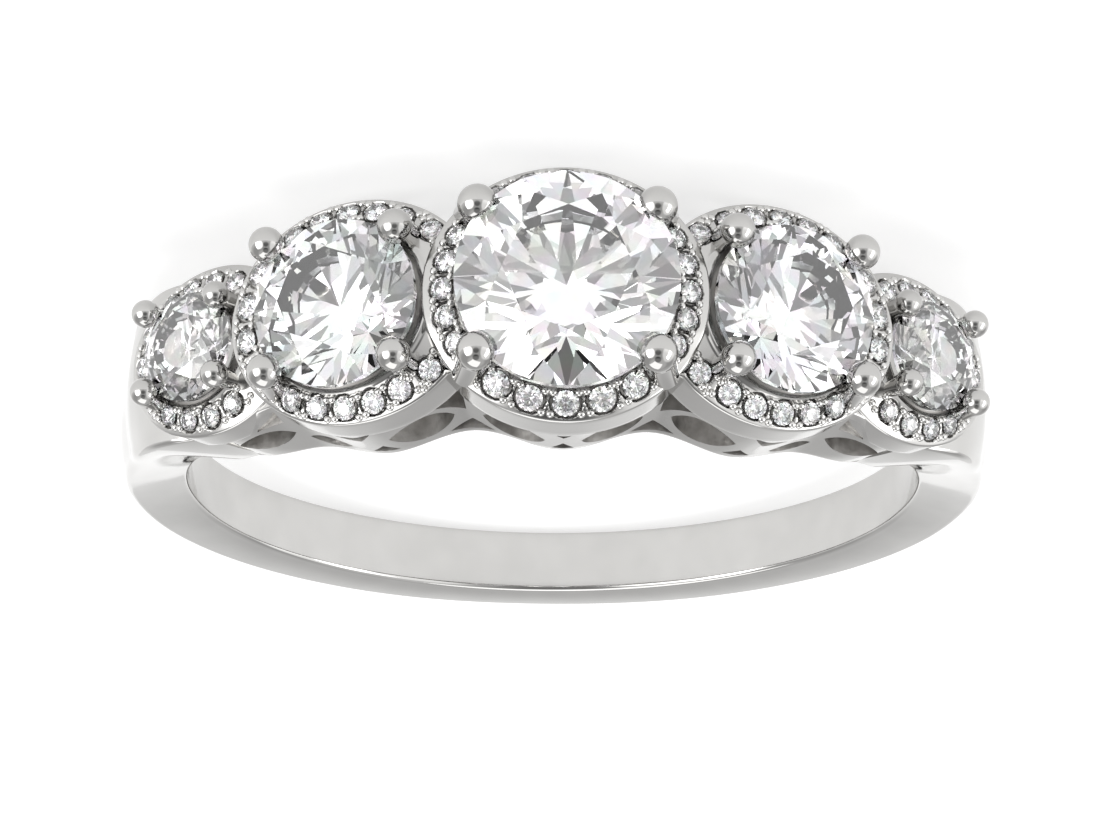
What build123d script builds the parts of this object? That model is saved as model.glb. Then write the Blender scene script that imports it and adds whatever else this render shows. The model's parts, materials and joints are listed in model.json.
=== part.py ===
from build123d import *
import os
from math import atan, atan2, cos, degrees, hypot, radians, sin, tan

# Five stone ring lying on its side, as it comes to rest on a table. Lengths in mm, angles in degrees.
# It is drawn with the finger hole's axis along Z and the stones toward -Y, then tipped to its rest.

# Band
finger_radius = 8.65
band_thickness = 1.32
band_half_width = 0.768
band_dome = 0.14
band_side_bulge = 0.03

# Side walls of the gallery
gallery_height = 1.85
gallery_wall = 0.70

# Gaps between the metal and the stones
stone_gap = 0.03
small_stone_gap = 0.02
small_stone_spacing = 0.12
corner_share = 0.75

# Metal drawn past the surface that it meets, so that the two join
band_overrun = 0.30
gallery_overrun = 0.20
opening_overrun = 0.30
prong_root = 0.10

# How wide a prong's stem is where it meets the ball, as a share of the ball
stem_top_share = 0.85

# Steps used to measure the length of a curved row of seats
row_steps = 16

# A round brilliant: number of its main facets, and proportions as shares of its girdle radius
mains = 8
table_share = 0.57
star_share = 0.765
crown_share = 0.29
girdle_share = 0.03
lower_share = 0.22
pavilion_share = 0.86


class Cup:
    """One stone, its four prongs and the rim of small stones around it."""

    def __init__(self, **sizes):
        self.__dict__.update(sizes)


# out and height place the middle of the stone's girdle, lean tips it away from the middle of the ring.
# rim_long, rim_wide and rim_shift give the oval rim, rim_drop its depth under the girdle.
centre = Cup(
    out=0.0, height=12.28, lean=0.0, stone=2.50,
    rim_long=3.20, rim_wide=3.00, rim_shift=0.0, rim_drop=0.98, rim_wall=0.92,
    slope_top=2.10, slope_drop=0.36, opening=2.36, opening_foot=1.80,
    ball=0.45, stem=0.34, prong_across=1.99, prong_along=1.71, prong_lift=0.06,
    inner_lean=12.0, outer_lean=12.0,
    front_small=0.30, side_small=0.26, corner_small=0.0, seat_share=0.60, prong_room=0.28,
)
inner = Cup(
    out=5.11, height=10.49, lean=24.2, stone=1.95,
    rim_long=3.05, rim_wide=2.65, rim_shift=0.17, rim_drop=0.69, rim_wall=0.85,
    slope_top=1.60, slope_drop=0.20, opening=1.86, opening_foot=1.40,
    ball=0.40, stem=0.26, prong_across=1.57, prong_along=1.50, prong_lift=0.31,
    inner_lean=0.0, outer_lean=12.0,
    front_small=0.26, side_small=0.29, corner_small=0.25, seat_share=0.68, prong_room=0.20,
)
outer = Cup(
    out=8.46, height=7.41, lean=39.9, stone=1.27,
    rim_long=2.46, rim_wide=2.02, rim_shift=0.27, rim_drop=0.56, rim_wall=0.70,
    slope_top=1.05, slope_drop=0.20, opening=1.22, opening_foot=0.90,
    ball=0.32, stem=0.18, prong_across=1.06, prong_along=0.94, prong_lift=0.29,
    inner_lean=0.0, outer_lean=12.0,
    front_small=0.24, side_small=0.26, corner_small=0.0, seat_share=0.60, prong_room=0.08,
)


def polar(radius, azimuth):
    """A point at this distance from the finger axis and this angle from the middle of the ring's head."""
    angle = radians(azimuth)
    return Vector(radius * sin(angle), -radius * cos(angle), 0)


def azimuth_of(cup):
    return degrees(atan2(cup.out, cup.height))


def cup_plane(cup):
    """Origin in the middle of the girdle, X away from the middle of the ring, Y along the finger axis."""
    lean = radians(cup.lean)
    return Plane(
        origin=(cup.out, -cup.height, 0),
        x_dir=(cos(lean), sin(lean), 0),
        z_dir=(sin(lean), -cos(lean), 0),
    )


# Round brilliants
def ring_of_points(radius, height, count, start):
    angles = [radians(start + 360 / count * i) for i in range(count)]
    return [Vector(radius * cos(a), radius * sin(a), height) for a in angles]


def brilliant(radius):
    """Table, 8 stars, 8 kites, 16 upper halves, thin girdle, 16 lower halves and 8 mains to a point."""
    half = 180 / mains
    crown = crown_share * radius
    girdle = girdle_share * radius
    depth = pavilion_share * radius
    star_rise = crown * (1 - star_share * cos(radians(half))) / (1 - table_share)
    lower_fall = depth * (1 - lower_share * cos(radians(half)))
    table = ring_of_points(table_share * radius, girdle + crown, mains, 0)
    star = ring_of_points(star_share * radius, girdle + star_rise, mains, half)
    top = ring_of_points(radius, girdle, 2 * mains, 0)
    bottom = ring_of_points(radius, -girdle, 2 * mains, 0)
    lower = ring_of_points(lower_share * radius, -girdle - lower_fall, mains, half)
    foot = Vector(0, 0, -girdle - depth)
    outlines = [table]
    for i in range(mains):
        tip, middle, next_tip = 2 * i, 2 * i + 1, (2 * i + 2) % (2 * mains)
        outlines.append([table[i], table[(i + 1) % mains], star[i]])
        outlines.append([table[i], star[i - 1], top[tip], star[i]])
        outlines.append([star[i], top[tip], top[middle]])
        outlines.append([star[i], top[middle], top[next_tip]])
        outlines.append([lower[i], bottom[tip], bottom[middle]])
        outlines.append([lower[i], bottom[middle], bottom[next_tip]])
        outlines.append([foot, lower[i - 1], bottom[tip], lower[i]])
    for i in range(2 * mains):
        after = (i + 1) % (2 * mains)
        outlines.append([top[i], top[after], bottom[after], bottom[i]])
    faces = [Face(Wire.make_polygon(points, close=True)) for points in outlines]
    return Solid(Shell(faces))


def main_stone(cup):
    """A brilliant whose girdle is turned round, so that its facets meet the girdle in scallops."""
    across_corners = cup.stone / cos(radians(90 / mains))
    return brilliant(across_corners) & Cylinder(cup.stone, 4 * cup.stone)


def stone_room(cup):
    """The space that a main stone turns in, one gap larger all round."""
    radius = cup.stone / cos(radians(90 / mains))
    girdle = girdle_share * radius + stone_gap
    crown = crown_share * radius
    star_rise = crown * (1 - star_share * cos(radians(180 / mains))) / (1 - table_share)
    outline = Polyline(
        (0, girdle + crown),
        (table_share * radius + stone_gap, girdle + crown),
        (star_share * radius + stone_gap, girdle + star_rise),
        (cup.stone + stone_gap, girdle),
        (cup.stone + stone_gap, -girdle),
        (0, -girdle - pavilion_share * radius - stone_gap),
        close=True,
    )
    return revolve(Plane.XZ * make_face(outline), Axis.Z)


# Rims and the seats of the small stones
def rim_slope_point(cup, share, angle):
    """A point on the rim's sloping top, from the small circle at its top (0) to its oval outer edge (1)."""
    long_radius = cup.slope_top + share * (cup.rim_long - cup.slope_top)
    wide_radius = cup.slope_top + share * (cup.rim_wide - cup.slope_top)
    drop = cup.slope_drop + share * (cup.rim_drop - cup.slope_drop)
    return Vector(
        long_radius * cos(radians(angle)) - share * cup.rim_shift,
        wide_radius * sin(radians(angle)),
        -drop,
    )


def seat_plane(cup, share, angle):
    """A plane on the rim's slope, X down the slope and Z out of the metal."""
    here = rim_slope_point(cup, share, angle)
    down = rim_slope_point(cup, 1, angle) - rim_slope_point(cup, 0, angle)
    along = rim_slope_point(cup, share, angle + 1) - rim_slope_point(cup, share, angle - 1)
    return Plane(origin=here, x_dir=down, z_dir=down.cross(along))


def prong_angle(cup, side):
    """Where a prong stands on the oval of the seats, as that oval's own angle."""
    lean = radians(cup.outer_lean if side > 0 else cup.inner_lean)
    reach = 1 + (cup.prong_lift + cup.slope_drop) * tan(lean) / hypot(cup.prong_across, cup.prong_along)
    long_radius = cup.slope_top + cup.seat_share * (cup.rim_long - cup.slope_top)
    wide_radius = cup.slope_top + cup.seat_share * (cup.rim_wide - cup.slope_top)
    across = side * cup.prong_across * reach + cup.seat_share * cup.rim_shift
    return degrees(atan2(cup.prong_along * reach / wide_radius, across / long_radius))


def sector_seats(cup, first, last, radius):
    """Evenly spread seats between two prongs, as many as fit with the named spacing."""
    angles = [first + (last - first) * i / row_steps for i in range(row_steps + 1)]
    places = [rim_slope_point(cup, cup.seat_share, angle) for angle in angles]
    length = sum((b - a).length for a, b in zip(places, places[1:]))
    free = length - 2 * cup.prong_room
    count = int(free / (2 * radius + small_stone_spacing))
    step = (last - first) * free / length / count
    middle = (first + last) / 2
    angles = [middle + step * (i - (count - 1) / 2) for i in range(count)]
    return [(seat_plane(cup, cup.seat_share, angle), radius) for angle in angles]


def small_stone_seats(cup):
    """Seats between the prongs, except under the next cup's rim, where only the corners have one."""
    outer_prong = prong_angle(cup, 1)
    inner_prong = prong_angle(cup, -1)
    seats = sector_seats(cup, outer_prong, inner_prong, cup.front_small)
    seats += sector_seats(cup, -inner_prong, -outer_prong, cup.front_small)
    seats += sector_seats(cup, -outer_prong, outer_prong, cup.side_small)
    if cup.out == 0:
        seats += sector_seats(cup, inner_prong, 360 - inner_prong, cup.side_small)
    if cup.corner_small > 0:
        corner = 180 - degrees(atan2(cup.prong_along, cup.prong_across))
        seats += [(seat_plane(cup, corner_share, angle), cup.corner_small) for angle in (corner, -corner)]
    return seats


def rim(cup):
    """A solid rim: a sloping top for the small stones over an upright oval wall."""
    top = Plane.XY.offset(-cup.slope_drop) * Circle(cup.slope_top)
    edge = Pos(-cup.rim_shift, 0, -cup.rim_drop) * Ellipse(cup.rim_long, cup.rim_wide)
    slope = loft([top, edge], ruled=True)
    return slope + extrude(edge, -cup.rim_wall)


def opening(cup):
    """The tapering hole under the stone."""
    depth = cup.rim_drop + cup.rim_wall + opening_overrun
    return Pos(0, 0, -depth / 2) * Cone(cup.opening_foot, cup.opening, depth)


def small_stone_holes(cup):
    holes = []
    for plane, radius in small_stone_seats(cup):
        depth = radius * (pavilion_share + 2 * girdle_share) + small_stone_gap
        hole = Cylinder(radius + small_stone_gap, depth + radius)
        holes.append(plane * Pos(0, 0, (radius - depth) / 2) * hole)
    return holes


def small_stones(cup):
    """The field of small stones of one rim, each sunk so that its girdle is level with the metal."""
    stones = []
    for plane, radius in small_stone_seats(cup):
        stones.append(plane * brilliant(radius))
    return stones


# Prongs
def prong(cup, side, end):
    """A stem that widens toward the ball on its top. It leans out from the stone toward its foot."""
    lean = radians(cup.outer_lean if side > 0 else cup.inner_lean)
    ball = Vector(side * cup.prong_across, end * cup.prong_along, cup.prong_lift)
    outward = Vector(ball.X, ball.Y, 0).normalized()
    fall = cup.prong_lift + cup.rim_drop + prong_root
    foot = ball + outward * (fall * tan(lean)) - Vector(0, 0, fall)
    stem = Cone(cup.stem, stem_top_share * cup.ball, (ball - foot).length)
    stem = Plane(origin=(foot + ball) / 2, z_dir=ball - foot) * stem
    return stem + Pos(*ball) * Sphere(cup.ball)


def prongs(cup):
    return [prong(cup, side, end) for side in (-1, 1) for end in (-1, 1)]


# Band
def band_section(azimuth, inner_half, outer_half, thickness):
    """A cross-section of the band: straight inside, softly bulged sides and a domed outside."""
    inside = finger_radius - band_overrun
    outside = finger_radius + thickness
    shoulder = outside - band_dome
    middle = (inside + shoulder) / 2
    half = (inner_half + outer_half) / 2 + band_side_bulge
    radial = Plane(origin=(0, 0, 0), x_dir=polar(1, azimuth), z_dir=polar(1, azimuth).cross(Vector(0, 0, 1)))
    outline = (
        Line((inside, -inner_half), (inside, inner_half))
        + ThreePointArc((inside, inner_half), (middle, half), (shoulder, outer_half))
        + ThreePointArc((shoulder, outer_half), (outside, 0), (shoulder, -outer_half))
        + ThreePointArc((shoulder, -outer_half), (middle, -half), (inside, -inner_half))
    )
    return radial * make_face(outline)


# One half of the band, from under the outer cup to the bottom, where it is narrowest.
# Columns: angle past the middle of the outer cup as a share of the way to the bottom, half width inside and
# outside as shares of the way from band_half_width to that cup's rim_wide, thickness as a share of
# band_thickness.
band_rows = [
    (0.01, 0.97, 0.80, 1.44),
    (0.06, 0.83, 0.80, 1.80),
    (0.12, 0.47, 0.76, 1.72),
    (0.18, 0.24, 0.60, 1.42),
    (0.25, 0.11, 0.40, 1.27),
    (0.35, 0.02, 0.19, 1.18),
    (0.50, 0.00, 0.10, 1.10),
    (0.67, 0.00, 0.06, 1.05),
    (0.83, 0.00, 0.05, 1.02),
    (1.00, 0.00, 0.03, 1.00),
]


def band_half(share):
    return band_half_width + share * (outer.rim_wide - band_half_width)


def band():
    start = azimuth_of(outer)
    first_half = [(start + row[0] * (180 - start), row) for row in band_rows]
    second_half = [(360 - azimuth, row) for azimuth, row in first_half[-2::-1]]
    sections = []
    for azimuth, (_, inside, outside, thickness) in first_half + second_half:
        sizes = (band_half(inside), band_half(outside), thickness * band_thickness)
        sections.append(band_section(azimuth, *sizes))
    return loft(sections)


# Side walls of the gallery
# Half width of the gallery at each place round the head, as shares of the rim_wide of the cup there, or of
# the mean of the two cups that meet there. Columns: place, half width at the finger and under the rims.
gallery_rows = [
    ("centre", 0.92, 0.985),
    ("first joint", 0.83, 0.65),
    ("inner", 0.99, 0.985),
    ("second joint", 0.97, 0.73),
    ("outer", 1.01, 0.95),
    ("band", 0.90, 0.82),
]
gallery_end_past_outer = 5.0


def gallery_places():
    """Azimuth and mean rim width of each place that the gallery's rows name."""
    first = (azimuth_of(centre) + azimuth_of(inner)) / 2
    second = (azimuth_of(inner) + azimuth_of(outer)) / 2
    return {
        "centre": (azimuth_of(centre), centre.rim_wide),
        "first joint": (first, (centre.rim_wide + inner.rim_wide) / 2),
        "inner": (azimuth_of(inner), inner.rim_wide),
        "second joint": (second, (inner.rim_wide + outer.rim_wide) / 2),
        "outer": (azimuth_of(outer), outer.rim_wide),
        "band": (azimuth_of(outer) + gallery_end_past_outer, outer.rim_wide),
    }


def gallery_section(azimuth, foot_half, top_half):
    """A slanted four-sided cut through one side wall."""
    radial = Plane(origin=(0, 0, 0), x_dir=polar(1, azimuth), z_dir=polar(1, azimuth).cross(Vector(0, 0, 1)))
    inside = finger_radius - gallery_overrun
    top = finger_radius + gallery_height
    outline = Polyline(
        (inside, foot_half - gallery_wall),
        (inside, foot_half),
        (top, top_half),
        (top, top_half - gallery_wall),
        close=True,
    )
    return radial * make_face(outline)


def gallery_sheet():
    """The near side wall, which waves in and out from cup to cup."""
    places = gallery_places()
    half = []
    for place, foot_share, top_share in gallery_rows:
        azimuth, width = places[place]
        half.append((azimuth, foot_share * width, top_share * width))
    rows = [(-azimuth, foot, top) for azimuth, foot, top in half[:0:-1]] + half
    return loft([gallery_section(*row) for row in rows])


# Windows of the gallery. A place on the side walls is an azimuth and a rise, the rise as a share of
# gallery_height above the finger.
def gallery_point(azimuth, rise):
    return polar(finger_radius + rise * gallery_height, azimuth)


def through_cut(outline):
    """The outline cut straight through both side walls."""
    return extrude(make_face(outline), 2 * centre.rim_wide, both=True)


def lens_window(tip, over, far_tip, under):
    """A leaf-shaped window between two arcs."""
    tip, over, far_tip, under = [gallery_point(*place) for place in (tip, over, far_tip, under)]
    return through_cut(ThreePointArc(tip, over, far_tip) + ThreePointArc(far_tip, under, tip))


def corner_window(*places):
    return through_cut(Polyline(*[gallery_point(*place) for place in places], close=True))


# Leaf windows beside each cup. Columns: cup, joint that the leaf points to, then azimuth and rise of its
# tip, upper edge, far tip and lower edge, the azimuth as a share of the way from the cup to the joint.
leaf_rows = [
    ("centre", "first joint", (0.19, 0.42), (0.55, 0.60), (0.84, 0.42), (0.62, 0.13)),
    ("inner", "first joint", (0.15, 0.48), (0.58, 0.62), (0.86, 0.44), (0.50, 0.16)),
    ("inner", "second joint", (0.46, 0.20), (0.72, 0.31), (1.04, 0.30), (0.80, 0.12)),
    ("outer", "second joint", (-0.10, 0.46), (0.50, 0.60), (0.83, 0.42), (0.38, 0.26)),
]
# Straight-sided windows: under and over each crossing. Columns: place, then the corners, each as degrees
# past that place toward the band and rise.
corner_rows = [
    ("centre", (-1.0, 0.77), (1.0, 0.77), (0.0, 0.65)),
    ("centre", (-1.6, 0.14), (1.6, 0.14), (0.0, 0.40)),
    ("first joint", (-3.2, 0.11), (3.4, 0.11), (-0.4, 0.32)),
    ("first joint", (4.9, 0.70), (2.1, 0.60), (0.0, 0.52), (-0.4, 1.10), (2.5, 1.10)),
    ("inner", (-2.2, 0.14), (2.3, 0.14), (-0.3, 0.33)),
    ("inner", (7.0, 0.40), (-1.3, 0.85), (2.0, 0.50)),
    ("second joint", (6.4, 0.68), (2.0, 0.66), (1.6, 0.90), (3.6, 0.90)),
]


def gallery_windows():
    places = gallery_places()
    middle_windows, side_windows = [], []
    for cup, joint, *leaf in leaf_rows:
        start = places[cup][0]
        way = places[joint][0] - start
        side_windows.append(lens_window(*[(start + share * way, rise) for share, rise in leaf]))
    for place, *corners in corner_rows:
        window = corner_window(*[(places[place][0] + degrees_past, rise) for degrees_past, rise in corners])
        if place == "centre":
            middle_windows.append(window)
        else:
            side_windows.append(window)
    return middle_windows + side_windows + [window.mirror(Plane.YZ) for window in side_windows]


# The whole metal and the rest on the table
def on_ring(shapes, cup):
    """Shapes drawn on a cup, set in place on the ring, once for the centre and on both sides otherwise."""
    placed = [cup_plane(cup) * shape for shape in shapes]
    if cup.out == 0:
        return placed
    return placed + [shape.mirror(Plane.YZ) for shape in placed]


def for_all_cups(make_shapes):
    shapes = []
    for cup in (centre, inner, outer):
        shapes += on_ring(make_shapes(cup), cup)
    return shapes


def setting():
    near_wall = gallery_sheet() - gallery_windows()
    metal = band() + [near_wall, near_wall.mirror(Plane.XY)]
    metal += for_all_cups(lambda cup: [rim(cup)])
    metal -= for_all_cups(lambda cup: [opening(cup)])
    metal -= Cylinder(finger_radius, 4 * centre.rim_wide)
    metal += for_all_cups(prongs)
    metal -= for_all_cups(lambda cup: [stone_room(cup)])
    metal -= for_all_cups(small_stone_holes)
    return metal


def rest_angle():
    """The ring lies on the lower edge of the centre rim's wall and on the edge of the band's bottom."""
    rim_foot = centre.height - centre.rim_drop - centre.rim_wall
    band_foot = finger_radius + band_thickness - band_dome
    fall = centre.rim_wide - band_half(band_rows[-1][2])
    return degrees(atan(fall / (rim_foot + band_foot)))


def main():
    nodes = {"setting": [setting()], "centre_stone": [cup_plane(centre) * main_stone(centre)]}
    nodes["centre_small_stones"] = [cup_plane(centre) * stone for stone in small_stones(centre)]
    for name, cup in (("inner", inner), ("outer", outer)):
        stone = cup_plane(cup) * main_stone(cup)
        field = [cup_plane(cup) * small for small in small_stones(cup)]
        nodes[f"left_{name}_stone"] = [stone]
        nodes[f"right_{name}_stone"] = [stone.mirror(Plane.YZ)]
        nodes[f"left_{name}_small_stones"] = field
        nodes[f"right_{name}_small_stones"] = [small.mirror(Plane.YZ) for small in field]
    tip = Rot(-rest_angle(), 0, 0)
    tipped = {name: Compound([solid for shape in shapes for solid in (tip * shape).solids()])
              for name, shapes in nodes.items()}
    box = Compound(list(tipped.values())).bounding_box()
    rest = Pos(-box.center().X, -box.center().Y, -box.min.Z)
    os.makedirs("parts", exist_ok=True)
    for name, shape in tipped.items():
        export_step(rest * shape, f"parts/{name}.step")
    print("middle of the finger hole", (rest * tip).position, "tip angle", rest_angle())
    print("box", box.size)


if __name__ == "__main__":
    main()
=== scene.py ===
# %% [markdown]
# # Dressing a five stone ring
# The solids of the ring come ready made: a metal setting, five large round stones and five fields of small
# ones. In this lesson each of them gets its finish, and the metal gets the smooth curves, the rounded edges
# and the tiny grains that a goldsmith's setting has. The ring lies on its side, as it would on a table.

# %% Load the ring
import json
import bpy
import numpy as np
from mathutils import Matrix, Vector


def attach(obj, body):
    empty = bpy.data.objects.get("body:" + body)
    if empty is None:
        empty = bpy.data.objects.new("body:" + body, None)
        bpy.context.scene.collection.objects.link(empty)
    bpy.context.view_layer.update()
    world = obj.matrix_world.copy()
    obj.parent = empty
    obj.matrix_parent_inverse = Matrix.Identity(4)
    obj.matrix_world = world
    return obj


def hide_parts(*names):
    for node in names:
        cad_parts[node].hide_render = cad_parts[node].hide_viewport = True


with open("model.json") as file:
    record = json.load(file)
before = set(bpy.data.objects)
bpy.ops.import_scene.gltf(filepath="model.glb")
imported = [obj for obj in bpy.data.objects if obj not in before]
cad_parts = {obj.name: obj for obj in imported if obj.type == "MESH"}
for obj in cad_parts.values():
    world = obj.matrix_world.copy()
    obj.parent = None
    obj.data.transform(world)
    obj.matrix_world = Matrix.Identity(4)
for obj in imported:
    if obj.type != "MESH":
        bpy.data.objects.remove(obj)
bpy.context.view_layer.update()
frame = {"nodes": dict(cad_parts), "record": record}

# %% [markdown]
# ## The drawing's own axes
# The ring is easiest to describe as it is drawn: the finger hole's axis along Z and the stones toward -Y, in
# millimetres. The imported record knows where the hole's middle is and which way its axis points, so every
# point of the drawing can be tipped over and set down on the table, beside the solids, without any fitting.

# %% From the drawing to the table
hole = frame["record"]["mounts"][0]
hole_middle = np.array(hole["pos_m"])
hole_axis = np.array(hole["axis"]) / np.linalg.norm(hole["axis"])
across = np.array([1.0, 0.0, 0.0])
tipped_axes = np.stack([across, np.cross(hole_axis, across), hole_axis])


def on_table(points):
    """Points of the drawing, in mm, as points on the table, in metres: turn, scale, then shift."""
    return np.asarray(points) @ tipped_axes / 1000 + hole_middle


def mirrored(points):
    """The same points on the other side of the ring: X changes its sign."""
    return points * np.array([-1.0, 1.0, 1.0])


print("the hole's axis leans", round(float(np.degrees(np.arccos(hole_axis[2]))), 2), "degrees")

# %% [markdown]
# ## The sizes of the five cups
# A cup is one large stone with its prongs and its rim of small stones. The three kinds of cup differ only in
# these sizes, all in mm and degrees. `out` and `height` place the middle of the stone's girdle in the
# drawing, `lean` tips it away from the middle of the ring, and `stone` is its radius. `rim_drop` and
# `slope_drop` are depths under the girdle, `opening` is the radius of the hole under the stone, `ball` and
# `stem` are radii of a prong, and the three sizes that end in `small` are radii of small stones.
# `seat_share` is how far down the slope their rows run, and `prong_room` stays free beside a prong.

# %% Three kinds of cup
finger_radius = 8.65
cups = {
    "centre": dict(
        out=0.0, height=12.28, lean=0.0, stone=2.50, rim_long=3.20, rim_wide=3.00, rim_shift=0.0,
        rim_drop=0.98, rim_wall=0.92, slope_top=2.10, slope_drop=0.36, opening=2.36, opening_foot=1.80,
        ball=0.45, stem=0.34, prong_across=1.99, prong_along=1.71, prong_lift=0.06, inner_lean=12.0,
        outer_lean=12.0, front_small=0.30, side_small=0.26, corner_small=0.0, seat_share=0.60,
        prong_room=0.28,
    ),
    "inner": dict(
        out=5.11, height=10.49, lean=24.2, stone=1.95, rim_long=3.05, rim_wide=2.65, rim_shift=0.17,
        rim_drop=0.69, rim_wall=0.85, slope_top=1.60, slope_drop=0.20, opening=1.86, opening_foot=1.40,
        ball=0.40, stem=0.26, prong_across=1.57, prong_along=1.50, prong_lift=0.31, inner_lean=0.0,
        outer_lean=12.0, front_small=0.26, side_small=0.29, corner_small=0.25, seat_share=0.68,
        prong_room=0.20,
    ),
    "outer": dict(
        out=8.46, height=7.41, lean=39.9, stone=1.27, rim_long=2.46, rim_wide=2.02, rim_shift=0.27,
        rim_drop=0.56, rim_wall=0.70, slope_top=1.05, slope_drop=0.20, opening=1.22, opening_foot=0.90,
        ball=0.32, stem=0.18, prong_across=1.06, prong_along=0.94, prong_lift=0.29, inner_lean=0.0,
        outer_lean=12.0, front_small=0.24, side_small=0.26, corner_small=0.0, seat_share=0.60,
        prong_room=0.08,
    ),
}
for name, cup in cups.items():
    print(name, "cup: a stone", 2 * cup["stone"], "mm across")


# %% [markdown]
# ## Surfaces as whole arrays
# Every new piece of metal here is a grid of points, worked out in one go with numpy: one direction of the
# grid runs along the piece, and the other runs round it. A few small helpers turn such a grid into faces and
# join several grids into one object, so the formulas that follow only have to say where the points are.

# %% Grids to meshes
def grid_faces(rows, columns, closed_rows):
    """Faces between neighbouring rows and columns. Columns always close; rows close too when asked."""
    row = np.arange(rows if closed_rows else rows - 1)[:, None]
    column = np.arange(columns)[None, :]
    next_row, next_column = (row + 1) % rows, (column + 1) % columns
    corners = [row * columns + column, row * columns + next_column,
               next_row * columns + next_column, next_row * columns + column]
    return np.stack([np.broadcast_to(c, (len(row), columns)).ravel() for c in corners], axis=1)


def tube(points, closed_rows=False):
    """A skin over a grid of shape rows x columns x 3. An open one gets a point in the middle of each end."""
    rows, columns = points.shape[:2]
    places = points.reshape(-1, 3)
    quads = grid_faces(rows, columns, closed_rows).tolist()
    if closed_rows:
        return places, quads
    ends = np.stack([points[0].mean(axis=0), points[-1].mean(axis=0)])
    here = np.arange(columns)
    after = (here + 1) % columns
    first = np.stack([after, here, np.full(columns, rows * columns)], axis=1)
    base = (rows - 1) * columns
    last = np.stack([base + here, base + after, np.full(columns, rows * columns + 1)], axis=1)
    return np.concatenate([places, ends]), quads + first.tolist() + last.tolist()


def signed_volume(places, faces):
    """Six times the space inside: the sum over the faces, cut into triangles, of a . (b x c)."""
    fan = np.array([[f[0], f[i], f[i + 1]] for f in faces for i in range(1, len(f) - 1)])
    a, b, c = (places[fan[:, i]] for i in range(3))
    return float(np.sum(a * np.cross(b, c)))


def joined(name, skins):
    """One mesh made of closed skins of the drawing, each turned to face outwards and set on the table."""
    places, faces, count = [], [], 0
    for skin_places, skin_faces in skins:
        if signed_volume(skin_places, skin_faces) < 0:
            skin_faces = [face[::-1] for face in skin_faces]
        places.append(skin_places)
        faces += [[corner + count for corner in face] for face in skin_faces]
        count += len(skin_places)
    mesh = bpy.data.meshes.new(name)
    mesh.from_pydata(on_table(np.concatenate(places)).tolist(), [], faces)
    return mesh


def linked(name, content):
    """A new object of this mesh, light or lens, in the scene's collection, with its origin at zero."""
    made = bpy.data.objects.new(name, content)
    bpy.context.collection.objects.link(made)
    return made


def piece(name, skins, material, sharp=35.0):
    """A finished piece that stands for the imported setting. Edges over sharp degrees stay crisp."""
    mesh = joined(name, skins)
    mesh.shade_smooth()
    mesh.set_sharp_from_angle(angle=np.radians(sharp))
    mesh.materials.append(material)
    made = linked(name, mesh)
    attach(made, "root")
    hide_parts("setting")
    print(name, "has", len(mesh.polygons), "faces")
    return made


print("a tube of 3 rows of 4 points gets", len(tube(np.zeros((3, 4, 3)))[1]), "faces")

# %% [markdown]
# ## Colours and nodes
# Colours are given as sRGB hex values, as a picture shows them, and one function turns them to the linear
# values that the shader wants. Another small function adds any node with its settings and its links, and it
# calls a third one for the links, which also serves a node that is already there.

# %% Helpers for materials
def linear(hex_colour):
    """An sRGB hex colour as linear red, green, blue and full opacity."""
    parts = np.array([int(hex_colour[i:i + 2], 16) / 255 for i in (1, 3, 5)])
    values = np.where(parts <= 0.04045, parts / 12.92, ((parts + 0.055) / 1.055) ** 2.4)
    return (*(float(v) for v in values), 1.0)


def feed(tree, target, inputs):
    """Sets or links a node's inputs: a tuple (node, output) is a link."""
    for key, value in inputs.items():
        if isinstance(value, tuple) and isinstance(value[0], bpy.types.Node):
            tree.links.new(value[0].outputs[value[1]], target.inputs[key])
        else:
            target.inputs[key].default_value = value


def node(tree, kind, settings=None, inputs=None):
    """Adds a node, sets its properties, then feeds its inputs."""
    made = tree.nodes.new(kind)
    for key, value in (settings or {}).items():
        setattr(made, key, value)
    feed(tree, made, inputs or {})
    return made


def new_material(name):
    """A material with an empty tree, its Principled shader and its output."""
    material = bpy.data.materials.new(name)
    material.use_nodes = True
    tree = material.node_tree
    tree.nodes.clear()
    shader = node(tree, "ShaderNodeBsdfPrincipled")
    node(tree, "ShaderNodeOutputMaterial", inputs={"Surface": (shader, "BSDF")})
    return material, tree, shader


print("the picture's middle grey is", round(linear("#808080")[0], 3), "in linear light")

# %% [markdown]
# ## Polished silver under rhodium
# The metal is sterling silver, cast, polished by hand and plated with rhodium, which gives a cool, slightly
# grey mirror. Polishing leaves two marks that the eye reads as metal: a very soft waviness, about a
# millimetre long, and hairlines from the last buffing cloth. Both are bump only, and the hairlines also
# make the roughness vary. Pattern scales are waves per metre, so 1000 / 0.9 is one soft wave in 0.9 mm. The
# balls of the prongs are the smoothest, and their colour is a little darker, a painted shade. The rims also
# have places that no cloth reaches, where the surface is dull, wherever the attribute that the rims carry
# says so; there the colour is also darker, a painted shade in the seats, the channel, the hole and between
# the lip and the large stone.

# %% The metal
# The lengths are in mm, and the hairlines' depth is a share of the soft waves' depth. Real hairlines are too
# fine to show, so these are drawn coarser.
soft_wave = 0.9
hairline_length = 0.25
hairline_depth_share = 0.12
cut_roughness = 0.38


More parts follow.
